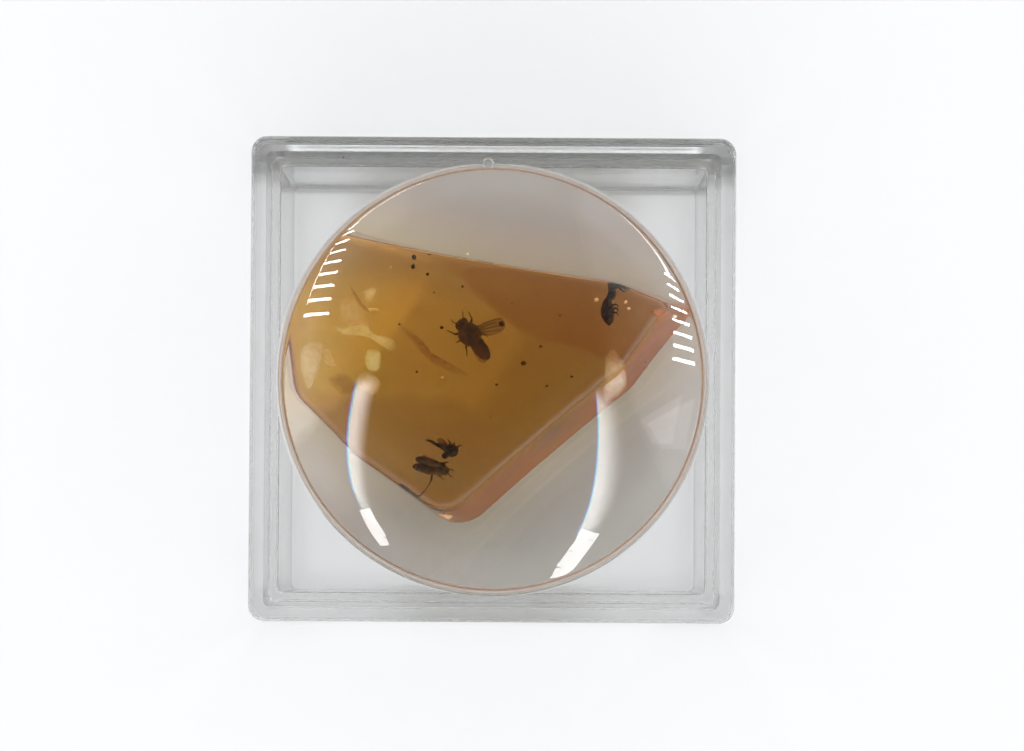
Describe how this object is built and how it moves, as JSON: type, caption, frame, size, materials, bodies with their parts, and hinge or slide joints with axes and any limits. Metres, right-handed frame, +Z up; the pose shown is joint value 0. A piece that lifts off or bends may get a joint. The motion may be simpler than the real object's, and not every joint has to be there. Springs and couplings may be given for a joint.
{
  "type": "insect in amber",
  "caption": "Slab of polished amber with sealed insects, lying in a clear square box whose push-on lid is a magnifying lens.",
  "frame": {"origin": "middle of the box's flat underside", "axes": "+Z up through the lens, +Y towards the amber's long straight side, +X towards its pointed tip"},
  "size_m": [0.03, 0.03, 0.0258],
  "materials": {
    "clear_plastic": "clear glossy moulded polystyrene",
    "amber": "clear polished amber, honey yellow to reddish brown",
    "brown_insect": "dark brown insect shell",
    "black_insect": "black insect shell"
  },
  "bodies": {
    "root": {"box_base": "clear_plastic", "box_lid": "clear_plastic", "amber_lower": "amber", "amber_upper": "amber", "winged_insect": "brown_insect", "curled_insect": "black_insect", "small_fly": "black_insect", "beetle": "brown_insect"}
  },
  "joints": []
}
